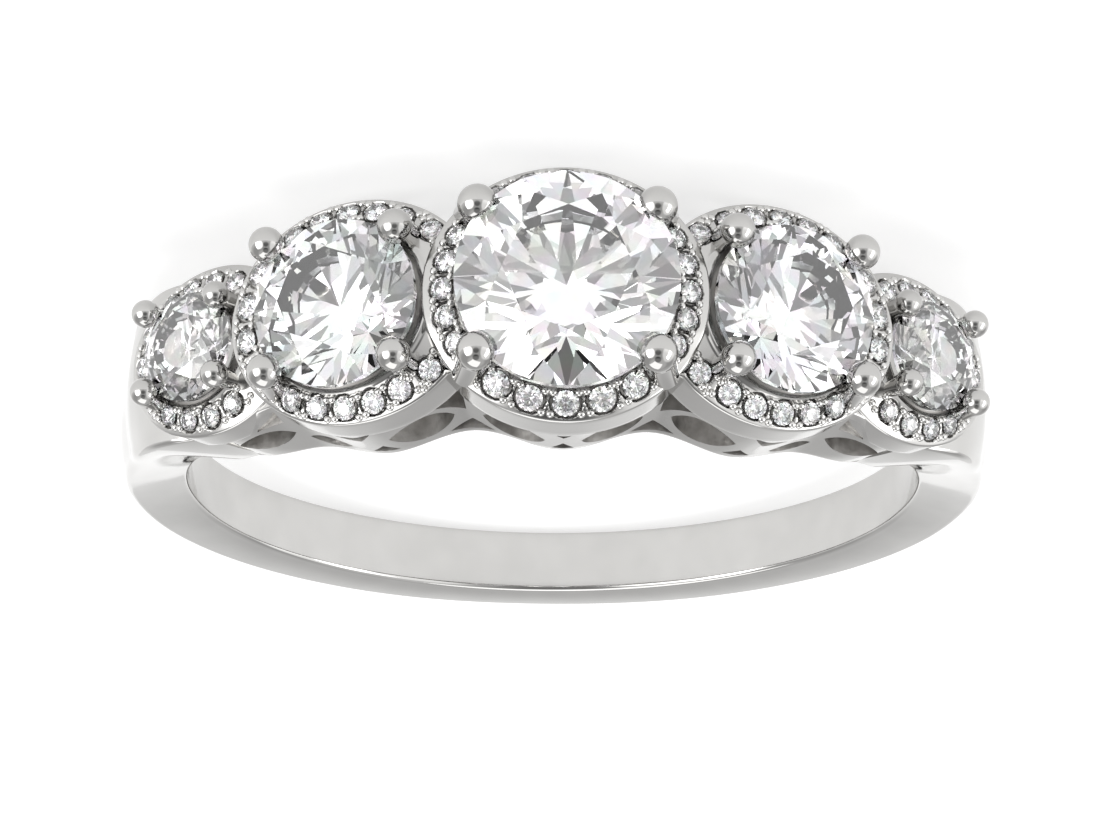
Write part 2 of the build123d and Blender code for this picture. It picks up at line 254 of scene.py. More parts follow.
def polished_metal(name, colour, smooth, rough, wave_depth, painted_shade_colour=None):
    """Soft waves and hairlines over a mirror. smooth and rough are the ends of the roughness range, and
    wave_depth is in metres. With a colour for the cut places, the attribute named cut turns the surface to
    that colour, which is painted shade, and makes it dull, as the graver left it: fully where it is 1."""
    material, tree, shader = new_material(name)
    place = node(tree, "ShaderNodeTexCoord")
    waves = node(tree, "ShaderNodeTexNoise", inputs={
        "Vector": (place, "Object"), "Scale": 1000 / soft_wave, "Detail": 2.0, "Roughness": 0.4})
    stretched = node(tree, "ShaderNodeMapping", inputs={
        "Vector": (place, "Object"), "Rotation": (0.4, 0.3, 0.7), "Scale": (1.0, 9.0, 1.0)})
    hairlines = node(tree, "ShaderNodeTexNoise", inputs={
        "Vector": (stretched, "Vector"), "Scale": 1000 / hairline_length, "Detail": 3.0, "Roughness": 0.6})
    spread = node(tree, "ShaderNodeMapRange", inputs={
        "Value": (hairlines, "Fac"), "From Min": 0.35, "From Max": 0.75, "To Min": smooth, "To Max": rough})
    tint = node(tree, "ShaderNodeMapRange", inputs={
        "Value": (waves, "Fac"), "From Min": 0.3, "From Max": 0.7, "To Min": 0.94, "To Max": 1.0})
    paint = node(tree, "ShaderNodeMix", {"data_type": "RGBA", "blend_type": "MULTIPLY"}, {
        "Factor": 1.0, "A": linear(colour), "B": (tint, "Result")})
    soft = node(tree, "ShaderNodeBump", inputs={
        "Height": (waves, "Fac"), "Strength": 1.0, "Distance": wave_depth})
    fine = node(tree, "ShaderNodeBump", inputs={
        "Height": (hairlines, "Fac"), "Strength": 1.0, "Distance": wave_depth * hairline_depth_share,
        "Normal": (soft, "Normal")})
    colour_from, roughness_from = paint, spread
    # Where the attribute cut says so, the colour turns darker, a painted shade, and the roughness rises, as
    # on unpolished metal.
    if painted_shade_colour:
        cut = node(tree, "ShaderNodeAttribute", {"attribute_name": "cut"})
        colour_from = node(tree, "ShaderNodeMix", {"data_type": "RGBA"}, {
            "Factor": (cut, "Fac"), "A": (paint, "Result"), "B": linear(painted_shade_colour)})
        roughness_from = node(tree, "ShaderNodeMapRange", inputs={
            "Value": (cut, "Fac"), "To Min": rough, "To Max": cut_roughness})
    feed(tree, shader, {"Base Color": (colour_from, "Result"), "Roughness": (roughness_from, "Result"),
                        "Normal": (fine, "Normal"), "Metallic": 1.0})
    return material


# The prongs' colour is a darker copy of the band's, a painted shade for the darker surroundings that their
# balls reflect. The rims' colour is a touch darker too, painted shade against the bright horizon of the
# studio.
metal = polished_metal("rhodium plated silver", "#C6C5C3", 0.05, 0.12, 0.0000012)
ball_metal_with_painted_shade = polished_metal("rhodium plated prongs", "#BCBBB9", 0.02, 0.06, 0.0000004)
# The rims' last colour is painted shade for their cut places: the seats, the channel, the hole and the slope
# between the lip and the large stone.
rim_metal_with_painted_shade = polished_metal("rhodium plated rims", "#C3C2C0", 0.06, 0.12, 0.0000008, "#8F8D8A")
grain_metal = polished_metal("rhodium plated grains", "#D2D1CF", 0.07, 0.14, 0.0000006)
print("metal made for the band, the prongs, the rims and the grains")

# %% [markdown]
# ## As-cast silver
# No polishing wheel reaches the edges that the saw and the mould left inside the gallery's windows. There
# the metal keeps its casting skin: dull, darker, and finely pitted. A noise a tenth of a millimetre across
# gives the pits their depth and the colour its blotches.

# %% The casting skin
def cast_metal(name, pale, dark):
    """Dull grey metal with pits. pale and dark are the two ends of its blotches."""
    material, tree, shader = new_material(name)
    place = node(tree, "ShaderNodeTexCoord")
    pits = node(tree, "ShaderNodeTexNoise", inputs={
        "Vector": (place, "Object"), "Scale": 1000 / 0.12, "Detail": 3.0, "Roughness": 0.65})
    blotches = node(tree, "ShaderNodeTexNoise", inputs={
        "Vector": (place, "Object"), "Scale": 1000 / 0.4, "Detail": 2.0})
    shade = node(tree, "ShaderNodeMapRange", inputs={
        "Value": (blotches, "Fac"), "From Min": 0.35, "From Max": 0.65})
    paint = node(tree, "ShaderNodeMix", {"data_type": "RGBA"}, {
        "Factor": (shade, "Result"), "A": linear(pale), "B": linear(dark)})
    spread = node(tree, "ShaderNodeMapRange", inputs={
        "Value": (pits, "Fac"), "From Min": 0.3, "From Max": 0.7, "To Min": 0.36, "To Max": 0.55})
    rough_skin = node(tree, "ShaderNodeBump", inputs={
        "Height": (pits, "Fac"), "Strength": 1.0, "Distance": 0.000012})
    feed(tree, shader, {"Base Color": (paint, "Result"), "Roughness": (spread, "Result"),
                        "Normal": (rough_skin, "Normal"), "Metallic": 1.0})
    return material


casting_skin = cast_metal("as-cast silver", "#C8C6C3", "#A19E9B")
print("casting skin made for the windows of the gallery")


# %% [markdown]
# ## Cut clear stones
# The stones are cubic zirconia, clear and heavy, with a refractive index near 2.15, so light that enters
# through the table turns back at the flat facets below. The facets are real ones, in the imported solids, and
# the shading stays flat on them. Their finish is clear crystal with the faintest polishing lines, along
# which the roughness rises a little from nothing. Two things are matched to the picture: the index is set a
# little over the real one, most of all for the outer stones, which are seen aslant, so that as much light
# turns back as there, and a trace of mixed hues stands for the fire, the light that the real stone splits
# into colours.

# %% The stones
painted_fire_share = 0.10
line_roughness = 0.012


def cut_stone(name, colour, index, line_width):
    """Clear crystal whose roughness follows faint polishing lines, with a trace of hues painted in for the
    fire, the light that a real stone splits into colours. line_width is in mm, wider than real lines are, so
    that they show, and it also sets the size of the hues."""
    material, tree, shader = new_material(name)
    place = node(tree, "ShaderNodeTexCoord")
    lines = node(tree, "ShaderNodeTexNoise", inputs={
        "Vector": (place, "Object"), "Scale": 1000 / line_width, "Detail": 2.0})
    spread = node(tree, "ShaderNodeMapRange", inputs={
        "Value": (lines, "Fac"), "From Min": 0.4, "From Max": 0.7, "To Min": 0.0, "To Max": line_roughness})
    cloud = node(tree, "ShaderNodeMapRange", inputs={
        "Value": (lines, "Fac"), "To Min": 0.985, "To Max": 1.0})
    paint = node(tree, "ShaderNodeMix", {"data_type": "RGBA", "blend_type": "MULTIPLY"}, {
        "Factor": 1.0, "A": linear(colour), "B": (cloud, "Result")})
    # The trace of hues is painted fire: colour that stands for the light a real stone splits into colours.
    hues = node(tree, "ShaderNodeTexNoise", inputs={
        "Vector": (place, "Object"), "Scale": 1000 / line_width, "Detail": 0.0})
    vivid = node(tree, "ShaderNodeHueSaturation", inputs={
        "Color": (hues, "Color"), "Saturation": 2.0, "Value": 1.9})
    fire = node(tree, "ShaderNodeMix", {"data_type": "RGBA"}, {
        "Factor": painted_fire_share, "A": (paint, "Result"), "B": (vivid, "Color")})
    feed(tree, shader, {"Base Color": (fire, "Result"), "Roughness": (spread, "Result"), "IOR": index,
                        "Transmission Weight": 1.0})
    return material


clear_stone = cut_stone("cubic zirconia", "#FDFDFF", 2.35, 0.4)
outer_stone = cut_stone("outer cubic zirconia", "#FEFEFF", 2.55, 0.3)
small_stone = cut_stone("small cubic zirconia", "#FEFEFF", 2.35, 0.1)
kinds = {"small_stones": small_stone, "outer_stone": outer_stone, "inner_stone": clear_stone,
         "centre_stone": clear_stone}
for name, solid in frame["nodes"].items():
    for ending, chosen in kinds.items():
        if name.endswith(ending):
            solid.data.materials.clear()
            solid.data.materials.append(chosen)
            print(name, "is", chosen.name)


# %% [markdown]
# ## A smooth curve through a few sizes
# The band and the gallery change their width and thickness along the ring. A few sizes at named angles are
# enough: a curve of cubic pieces that share their slopes runs through them, so no step shows.

# %% Curves through sizes
def unit(vectors):
    """Each vector divided by its own length."""
    return vectors / np.linalg.norm(vectors, axis=-1, keepdims=True)


def smooth_through(known, values, wanted):
    """Cubic pieces through the values. The slope at each one is a mean of the slopes of the lines to its two
    neighbours, and the nearer neighbour counts for more."""
    known, values, wanted = (np.asarray(a, float) for a in (known, values, wanted))
    slopes = np.gradient(values, known)
    i = np.clip(np.searchsorted(known, wanted, side="right") - 1, 0, len(known) - 2)
    width = known[i + 1] - known[i]
    t = (wanted - known[i]) / width
    return ((2 * t**3 - 3 * t**2 + 1) * values[i] + (t**3 - 2 * t**2 + t) * width * slopes[i]
            + (3 * t**2 - 2 * t**3) * values[i + 1] + (t**3 - t**2) * width * slopes[i + 1])


def radial_point(radius, azimuth, along):
    """A point of the drawing from its distance to the finger axis, its angle from the head and its Z."""
    angle = np.radians(azimuth)
    return np.stack(np.broadcast_arrays(radius * np.sin(angle), -radius * np.cos(angle), along), axis=-1)


outer_azimuth = float(np.degrees(np.arctan2(cups["outer"]["out"], cups["outer"]["height"])))
inner_azimuth = float(np.degrees(np.arctan2(cups["inner"]["out"], cups["inner"]["height"])))
print("the cups sit at 0,", round(inner_azimuth, 1), "and", round(outer_azimuth, 1), "degrees")

# %% [markdown]
# ## The band
# A ring band like this is cast, then filed and polished until every edge is soft. Its cross-section is flat
# where the finger goes, nearly flat at its sides and gently domed outside. It is narrow and thin at the back
# and swells into shoulders under the outer cups. The section is an outline of straight and curved runs whose
# corners are rounded off, and it is carried round the ring, with its width and thickness read from smooth
# curves.

# %% Band
band_thickness = 1.32
band_half_width = 0.768
band_dome = 0.14
band_bulge = 0.03
finger_edge = 0.12
# Columns: share of the way to the back, half width inside and outside as shares of the way to the outer
# rim's half width, thickness as a share of band_thickness, and how far its outer edges are rounded, in mm.
band_rows = np.array([
    (0.01, 0.93, 0.93, 1.44, 0.06),
    (0.06, 0.83, 0.91, 1.80, 0.16),
    (0.12, 0.47, 0.79, 1.72, 0.32),
    (0.18, 0.24, 0.60, 1.42, 0.36),
    (0.25, 0.11, 0.40, 1.27, 0.28),
    (0.35, 0.02, 0.19, 1.18, 0.20),
    (0.50, 0.00, 0.10, 1.10, 0.16),
    (0.67, 0.00, 0.06, 1.05, 0.14),
    (0.83, 0.00, 0.05, 1.02, 0.14),
    (1.00, 0.00, 0.03, 1.00, 0.14),
])


def rounded_outline(corners, bulges, radii, corner_steps, side_steps):
    """A closed outline through corners (count x places x axes). Each corner is cut short by its radius and
    bridged by a curve that bends toward it. Each side is straight, plus its bulge times a parabola."""
    outline = []
    for k, bulge in enumerate(bulges):
        following = (k + 1) % len(corners)
        before, here, after = corners[k - 1], corners[k], corners[following]
        start = here + radii[k] * unit(before - here)
        end = here + radii[k] * unit(after - here)
        t = np.linspace(0, 1, corner_steps)[:, None, None]
        outline.append((1 - t) ** 2 * start + 2 * t * (1 - t) * here + t**2 * end)
        next_start = after + radii[following] * unit(here - after)
        t = np.linspace(0, 1, side_steps[k] + 2)[1:-1, None, None]
        outline.append(end + t * (next_start - end) + 4 * t * (1 - t) * np.asarray(bulge))
    return np.concatenate(outline)


def band_surface(steps=400):
    """The outline, in radius and Z, swept from one outer cup round the back to the other."""
    half_way = outer_azimuth + band_rows[:, 0] * (180 - outer_azimuth)
    known = np.concatenate([half_way, 360 - half_way[-2::-1]])
    azimuth = np.linspace(known[0], known[-1], steps)
    sizes = [smooth_through(known, np.concatenate([column, column[-2::-1]]), azimuth)
             for column in band_rows[:, 1:].T]
    spread = cups["outer"]["rim_wide"] - band_half_width
    inside, outside = (band_half_width + size * spread for size in sizes[:2])
    low = np.full(steps, finger_radius)
    high = finger_radius + band_thickness * sizes[2] - band_dome
    corners = np.stack([np.stack(pair, axis=-1) for pair in (
        (low, -inside), (high, -outside), (high, outside), (low, inside))])
    bulges = ((0, -band_bulge), (band_dome, 0), (0, band_bulge), (0, 0))
    outer_edge = sizes[3][:, None]
    radii = (finger_edge, outer_edge, outer_edge, finger_edge)
    outline = rounded_outline(corners, bulges, radii, corner_steps=8, side_steps=(8, 14, 8, 10))
    radius, along = outline[..., 0].T, outline[..., 1].T
    return radial_point(radius, azimuth[:, None], along)


piece("band", [tube(band_surface())], metal)

# %% [markdown]
# ## Working in a cup's own axes
# A cup is drawn level, with the middle of its stone's girdle at zero, X away from the middle of the ring, Y
# along the finger axis and Z outward. Two small functions carry points from a cup to the ring and back. The
# ring has one centre cup and two of each other kind, so the pieces of the others are mirrored.

# %% Cup axes
def cup_axes(cup):
    """The cup's X, Y and Z as rows, in the drawing's axes, and the middle of its girdle."""
    lean = np.radians(cup["lean"])
    axes = np.array([[np.cos(lean), np.sin(lean), 0], [0, 0, 1], [np.sin(lean), -np.cos(lean), 0]])
    return axes, np.array([cup["out"], -cup["height"], 0])


def on_ring(cup, points):
    """Points of a cup's own axes as points of the drawing."""
    axes, middle = cup_axes(cup)
    return points @ axes + middle


def in_cup(cup, points):
    """Points of the drawing in a cup's own axes."""
    axes, middle = cup_axes(cup)
    return (points - middle) @ axes.T


def both_sides(name, skins):
    """The skins of a kind of cup, as pairs of a piece's name and its skins: one piece for the centre cup,
    and a left and a right one for the others."""
    if name == "centre":
        return [("centre", skins)]
    flipped = [(mirrored(places), faces) for places, faces in skins]
    return [("left_" + name, skins), ("right_" + name, flipped)]


print("the cups lean", [cup["lean"] for cup in cups.values()], "degrees away from the middle")

# %% [markdown]
# ## Room for the stones
# No metal may stand in a stone, nor in the tapering hole under it that lets the light through. Rather than
# cutting, the metal is drawn first and then pushed aside: any point inside this room moves straight away
# from the stone's axis until it is outside. A prong pushed aside this way gets the notch that holds the
# stone.

# %% Stone room
table_share, star_share, crown_share = 0.57, 0.765, 0.29
girdle_share, pavilion_share, mains = 0.03, 0.86, 8
stone_gap = 0.03
opening_overrun = 0.30


def opening_depth(cup):
    """How far down the hole under a stone goes, from the girdle."""
    return cup["rim_drop"] + cup["rim_wall"] + opening_overrun


def opening_radius(cup, z):
    """The hole under a stone, a cone: its radius falls evenly with the depth."""
    return cup["opening"] + (cup["opening"] - cup["opening_foot"]) / opening_depth(cup) * z


def room_radius(cup, z):
    """How wide the room is at each height: the wider of the stone, one gap larger, and the hole under it."""
    radius = cup["stone"] / np.cos(np.pi / (2 * mains))
    girdle = girdle_share * radius + stone_gap
    crown = crown_share * radius
    star_rise = crown * (1 - star_share * np.cos(np.pi / mains)) / (1 - table_share)
    foot = girdle + pavilion_share * radius + stone_gap
    widest = cup["stone"] + stone_gap
    heights = [-foot, -girdle, girdle, girdle + star_rise, girdle + crown]
    widths = [0.0, widest, widest, star_share * radius + stone_gap, table_share * radius + stone_gap]
    stone = np.interp(z, heights, widths, left=0.0, right=0.0)
    return np.maximum(stone, np.where((z < 0) & (z > -opening_depth(cup)), opening_radius(cup, z), 0.0))


def pushed_clear(points, extra=0.0):
    """The drawing's points, moved out of the room of every stone on both sides of the ring."""
    for name, cup in cups.items():
        for flip in ((1,) if name == "centre" else (1, -1)):
            turn = np.array([flip, 1.0, 1.0])
            local = in_cup(cup, points * turn)
            reach = np.linalg.norm(local[..., :2], axis=-1)
            room = room_radius(cup, local[..., 2])
            room = np.where(room > 0, room + extra, 0.0)
            push = np.where(reach < room, room / np.maximum(reach, 1e-6), 1.0)
            local[..., :2] *= push[..., None]
            points = on_ring(cup, local) * turn
    return points


print("the holes under the stones are", [round(opening_depth(cup), 2) for cup in cups.values()], "mm deep")

# %% [markdown]
# ## Where the small stones sit
# The small stones stand in rows between the prongs, on the sloping top of each rim. The row follows an oval
# part of the way down the slope, and as many stones as fit with a small space between them share its length.

# %% Seats
small_stone_spacing = 0.12
row_steps = 16
corner_share = 0.75


def oval(cup, share):
    """The two half widths of the slope at this share of the way down."""
    return [cup["slope_top"] + share * (cup[size] - cup["slope_top"]) for size in ("rim_long", "rim_wide")]


def slope_point(cup, share, angle):
    """The rim's slope, from the small circle at its top (share 0) to its oval edge (share 1)."""
    share, angle = np.broadcast_arrays(share, np.radians(angle))
    long_radius, wide_radius = oval(cup, share)
    fall = cup["slope_drop"] + share * (cup["rim_drop"] - cup["slope_drop"])
    return np.stack([long_radius * np.cos(angle) - share * cup["rim_shift"],
                     wide_radius * np.sin(angle), -fall], axis=-1)


def slope_axes(cup, share, angle):
    """Down the slope, along it and out of it, at each place: two differences and their cross product."""
    down = unit(slope_point(cup, 1.0, angle) - slope_point(cup, 0.0, angle))
    along = slope_point(cup, share, angle + 1) - slope_point(cup, share, angle - 1)
    out = unit(np.cross(down, along))
    return down, np.cross(out, down), out


def prong_place(cup, side):
    """The oval's angle under the prong on this side: +1 away from the ring's middle, -1 toward it."""
    lean = np.radians(cup["outer_lean" if side > 0 else "inner_lean"])
    reach = 1 + (cup["prong_lift"] + cup["slope_drop"]) * np.tan(lean) / np.hypot(
        cup["prong_across"], cup["prong_along"])
    long_radius, wide_radius = oval(cup, cup["seat_share"])
    x = side * cup["prong_across"] * reach + cup["seat_share"] * cup["rim_shift"]
    return float(np.degrees(np.arctan2(cup["prong_along"] * reach / wide_radius, x / long_radius)))


def row_seats(cup, first, last, radius):
    """Angles of the seats of one row: the free length of the oval, shared evenly by as many as fit."""
    places = slope_point(cup, cup["seat_share"], np.linspace(first, last, row_steps + 1))
    length = float(np.linalg.norm(np.diff(places, axis=0), axis=1).sum())
    free = length - 2 * cup["prong_room"]
    count = int(free / (2 * radius + small_stone_spacing))
    step = (last - first) * free / length / count
    return (first + last) / 2 + step * (np.arange(count) - (count - 1) / 2)


def seat_rows(cup):
    """Rows of seats as (share, angles, radius), between the prongs and in the corners."""
    outer, inner = prong_place(cup, 1), prong_place(cup, -1)
    spans = [(outer, inner, cup["front_small"]), (-inner, -outer, cup["front_small"]),
             (-outer, outer, cup["side_small"])]
    if cup["out"] == 0:
        spans.append((inner, 360 - inner, cup["side_small"]))
    rows = [(cup["seat_share"], row_seats(cup, *span), span[2]) for span in spans]
    if cup["corner_small"] > 0:
        corner = 180 - float(np.degrees(np.arctan2(cup["prong_along"], cup["prong_across"])))
        rows += [(corner_share, np.array([angle]), cup["corner_small"]) for angle in (corner, -corner)]
    return rows


print("small stones:", {name: sum(len(row[1]) for row in seat_rows(cup)) for name, cup in cups.items()})

# %% [markdown]
# ## The rims
# Each rim is a closed ring of metal: the sloping top, a rounded edge, an upright oval wall, a flat foot and
# the tapering hole. Its four corners at every angle are known, and the rounded outline joins them. The
# setter has cut a shallow channel along the slope, and in it one cone for each small stone, with its point
# down. A border stays on the outer side, and a low lip rises toward the large stone. All of these are
# depths taken off the fine grid of the slope, so no cutting tool is needed: the depth of a cone is how far
# a point is inside the seat's edge. The same shares say where the metal is cut and dull, and where its
# colour is darkened as painted shade: in the seats, the channel, the hole and between the lip and the large
# stone. The mesh carries them as an attribute for its material.

# %% Rims
rim_edge = 0.05
# A seat is one gap wider than its stone, and its cone falls this much for each mm toward its middle.
seat_gap = 0.02
seat_slope = 0.95
# The channel: its depth in mm, its reach from the middle of a seat in seat radii, and how wide its side is.
channel_depth = 0.07
channel_reach = 1.30
channel_side = 0.04
# As shares of the slope: the borders over which the channel fades in, and the part of them that stays whole.
outer_border = 0.05
inner_border = 0.08
border_kept = 0.2
# The lip: its height in mm, and where it stands and its half width as shares of the slope.
lip_height = 0.05
lip_share = 0.16
lip_half = 0.10
# How dull the metal is and how far painted shade darkens its colour: 1 is as cut, 0 is polished. Above the
# lip it fades out this many times faster.
hole_dullness_and_shade = 0.25
seat_dullness_and_shade = 0.35
lip_fade = 1.5
# Steps of the rim's outline: at each corner, down the wall, across the foot and up the hole.
corner_steps, wall_steps, foot_steps, hole_steps = 5, 5, 3, 7
halvings = 30


def inner_share(cup, angle):
    """The share of the slope at which the hole under the stone starts, found by halving the range."""
    low, high = np.zeros_like(angle), np.ones_like(angle)
    for _ in range(halvings):
        middle = (low + high) / 2
        point = slope_point(cup, middle, angle)
        inside = np.linalg.norm(point[..., :2], axis=-1) < opening_radius(cup, point[..., 2])
        low, high = np.where(inside, middle, low), np.where(inside, high, middle)
    return high


def seats_of(cup):
    """Every seat of a rim: its middle, the direction out of the slope there, and its radius."""
    middles, outs, radii = [], [], []
    for share, angles, radius in seat_rows(cup):
        middles.append(slope_point(cup, share, angles))
        outs.append(slope_axes(cup, share, angles)[2])
        radii.append(np.full(len(angles), radius))
    return np.concatenate(middles), np.concatenate(outs), np.concatenate(radii)


def cuts_at(cup, points):
    """At each point, the depth of the deepest cone, which is the seat's slope times how far the point is
    inside the seat's edge, and the channel: 1 within its reach of a seat, falling to 0 over its side."""
    deepest = np.zeros(points.shape[:-1])
    channel = np.zeros(points.shape[:-1])
    for middle, out, radius in zip(*seats_of(cup)):
        away = points - middle
        away = away - (away @ out)[..., None] * out
        reach = np.linalg.norm(away, axis=-1)
        deepest = np.maximum(deepest, seat_slope * (radius + seat_gap - reach))
        channel = np.maximum(channel, np.clip((channel_reach * radius - reach) / channel_side, 0, 1))
    return deepest, channel


def rim_surface(cup, columns, slope_rows):
    """The rounded outline of the rim at every angle, with the slope cut for the stones, and how far each
    point is dull and darkened by painted shade. The cut is the deeper of the cones and the channel, and the
    lip stands where nothing is cut."""
    angle = np.linspace(0, 360, columns, endpoint=False)
    start = inner_share(cup, angle)
    top, edge = slope_point(cup, start, angle), slope_point(cup, 1.0, angle)
    foot = edge - np.array([0, 0, cup["rim_wall"]])
    inner_foot = top.copy()
    inner_foot[:, 2] = foot[:, 2]
    inner_foot[:, :2] = unit(top[:, :2]) * opening_radius(cup, foot[:, 2])[:, None]
    corners = np.stack([top, edge, foot, inner_foot])
    flat = np.zeros(3)
    outline = rounded_outline(corners, (flat,) * 4, (rim_edge,) * 4, corner_steps,
                              (slope_rows, wall_steps, foot_steps, hole_steps))
    slope = slice(corner_steps, corner_steps + slope_rows)
    out = slope_axes(cup, 1.0, angle)[2]
    deep, channel = cuts_at(cup, outline[slope])
    share = np.linspace(0, 1, slope_rows)[:, None]
    within = (np.clip((1 - share) / outer_border - border_kept, 0, 1)
              * np.clip(share / inner_border - border_kept, 0, 1))
    cut = np.maximum(deep, channel_depth * channel * within)
    lip = lip_height * np.clip(1 - np.abs(share - lip_share) / lip_half, 0, 1) * (cut <= 0)
    outline[slope] += (lip - cut)[..., None] * out
    # Painted shade and dull metal: full in the channel and up against the large stone, less in the seats and
    # the hole.
    dullness_and_shade_by_stone = np.clip(lip_fade * (1 - share / lip_share), 0, 1)
    dullness_and_shade = np.zeros(outline.shape[:2])
    dullness_and_shade[slope] = np.maximum(np.clip(cut / channel_depth, 0, 1), dullness_and_shade_by_stone)
    dullness_and_shade[slope] = np.where(deep > 0, seat_dullness_and_shade, dullness_and_shade[slope])
    dullness_and_shade[-hole_steps:] = hole_dullness_and_shade
    return outline, dullness_and_shade


rim_clearance = 0.01
# How many columns round the rim and rows down the slope each kind of cup has.
rim_grids = {"centre": (640, 44), "inner": (560, 40), "outer": (440, 32)}
for name, cup in cups.items():
    grid, dullness_and_shade = rim_surface(cup, *rim_grids[name])
    skin = tube(pushed_clear(on_ring(cup, grid), rim_clearance), closed_rows=True)
    for side_name, skins in both_sides(name, [skin]):
        made = piece(side_name + "_rim", skins, rim_metal_with_painted_shade)
        made.data.attributes.new("cut", "FLOAT", "POINT").data.foreach_set("value", dullness_and_shade.ravel())

# %% [markdown]
# ## Grains
# After the stones are dropped in, the setter raises tiny beads of metal with a graver and presses them over
# the edges of the stones. Four of them fill each gap between two stones: two on the outer side and two on
# the inner side. There are hundreds, so one small bead is made and copied to all their places by adding
# arrays.

# %% Grains
grain_radius = 0.10
grain_sink = 0.01
# How far round the rim the grains of a stone that stands alone are from it, in degrees.
lone_turn = 8.0
# Over this angle an edge would stay crisp, so a bead is smooth all over.
grain_sharp = 180.0
# Columns: place down the slope and along it, both in seat radii, from the middle between two stones.
grain_places = np.array([(0.86, 0.34), (0.86, -0.34), (-0.80, 0.28), (-0.80, -0.28)])


def bead(rows=4, columns=9):
    """Points of a ball of radius one: circles whose radius is the sine of their angle from the top."""
    down = np.linspace(0, np.pi, rows + 2)[1:-1, None]
    turn = np.linspace(0, 2 * np.pi, columns, endpoint=False)[None, :]
    return np.stack(np.broadcast_arrays(np.sin(down) * np.cos(turn), np.sin(down) * np.sin(turn),
                                        np.cos(down)), axis=-1)


def grains_of(cup):
    """A bead at each of the four places of every gap, and at both ends of each row."""
    skins = []
    for share, angles, radius in seat_rows(cup):
        if len(angles) > 1:
            half_step = (angles[1] - angles[0]) / 2
            gaps = np.append(angles - half_step, angles[-1] + half_step)
        else:
            gaps = angles + lone_turn * np.array([-1.0, 1.0])
        down, along, out = slope_axes(cup, share, gaps)
        middle = slope_point(cup, share, gaps)
        for place_down, place_along in grain_places:
            spots = middle + radius * (place_down * down + place_along * along) - grain_sink * out
            for spot in spots:
                skins.append(tube(on_ring(cup, spot + grain_radius * bead())))
    return skins


for name, cup in cups.items():
    for side_name, skins in both_sides(name, grains_of(cup)):
        piece(side_name + "_grains", skins, grain_metal, grain_sharp)

# %% [markdown]
# ## Prongs
# Each large stone is held by four prongs: a round wire whose end was melted to a ball. A prong is a profile
# turned round its own line: a stem that flares toward the top, then the circle of the ball. Where the ball
# reaches into the room of its stone, the points are pushed aside. That makes the notch that grips the
# girdle.

# %% Prongs
prong_root = 0.10
stem_top_share = 0.85
ball_end_angle = 0.04
prong_sharp = 40.0


def prong_surface(cup, side, end, columns=56, stem_rows=13, ball_rows=40):
    """A stem that flares with the square of its length, then a ball from where its circle is as wide. The
    radius of the ball's circle is the sine of the angle from its top, and its place is the cosine."""
    lean = np.radians(cup["outer_lean" if side > 0 else "inner_lean"])
    ball = np.array([side * cup["prong_across"], end * cup["prong_along"], cup["prong_lift"]])
    outward = unit(np.array([ball[0], ball[1], 0.0]))
    fall = cup["prong_lift"] + cup["rim_drop"] + prong_root
    foot = ball + outward * fall * np.tan(lean) - np.array([0, 0, fall])
    line = unit(ball - foot)
    start = np.arcsin(stem_top_share)
    round_angle = np.linspace(np.pi - start, ball_end_angle, ball_rows)
    length = np.linalg.norm(ball - foot)
    way = np.linspace(0, 1, stem_rows, endpoint=False)
    stem_along = way * (length - cup["ball"] * np.cos(start))
    stem_radius = cup["stem"] + (stem_top_share * cup["ball"] - cup["stem"]) * way**2
    along = np.concatenate([stem_along, length + cup["ball"] * np.cos(round_angle)])
    radius = np.concatenate([stem_radius, cup["ball"] * np.sin(round_angle)])
    turn = np.linspace(0, 2 * np.pi, columns, endpoint=False)
    first = unit(np.cross(line, [0.0, 1.0, 0.0]))
    second = np.cross(line, first)
    circle = np.cos(turn)[:, None] * first + np.sin(turn)[:, None] * second
    return foot + along[:, None, None] * line + radius[:, None, None] * circle


for name, cup in cups.items():
    skins = [tube(pushed_clear(on_ring(cup, prong_surface(cup, side, end))))
             for side in (-1, 1) for end in (-1, 1)]
    for side_name, side_skins in both_sides(name, skins):
        piece(side_name + "_prongs", side_skins, ball_metal_with_painted_shade, prong_sharp)

# %% [markdown]
# ## The pierced gallery
# Under the rims, a wall on each side of the ring carries them and is sawn out into leaves and triangles.
# Each wall is a slab that waves in and out with the cups, made like the band, and its end sinks into the
# shoulder. The windows are outlines drawn on the wall, from arcs through three points and from straight
# runs, and pulled through both walls. Here a Boolean modifier does what the saw does, because the openings
# have sharp tips that no grid follows. The faces that it cuts take the casting skin.

# %% Gallery walls
gallery_height = 1.85
gallery_wall = 0.70
gallery_overrun = 0.20
gallery_edge = 0.05
gallery_foot_edge = 0.12
gallery_sharp = 30.0
gallery_end_past_outer = 5.0
first_joint = inner_azimuth / 2
second_joint = (inner_azimuth + outer_azimuth) / 2
wide = {name: cup["rim_wide"] for name, cup in cups.items()}
joint_wide = {"first": (wide["centre"] + wide["inner"]) / 2, "second": (wide["inner"] + wide["outer"]) / 2}
# Columns: azimuth, half width at the finger, half width under the rims.
gallery_rows = np.array([
    (0.0, 0.92 * wide["centre"], 0.985 * wide["centre"]),
    (first_joint, 0.83 * joint_wide["first"], 0.65 * joint_wide["first"]),
    (inner_azimuth, 0.99 * wide["inner"], 0.985 * wide["inner"]),
    (second_joint, 0.97 * joint_wide["second"], 0.73 * joint_wide["second"]),
    (outer_azimuth, 1.01 * wide["outer"], 0.95 * wide["outer"]),
    (outer_azimuth + gallery_end_past_outer, 0.90 * wide["outer"], 0.82 * wide["outer"]),
])


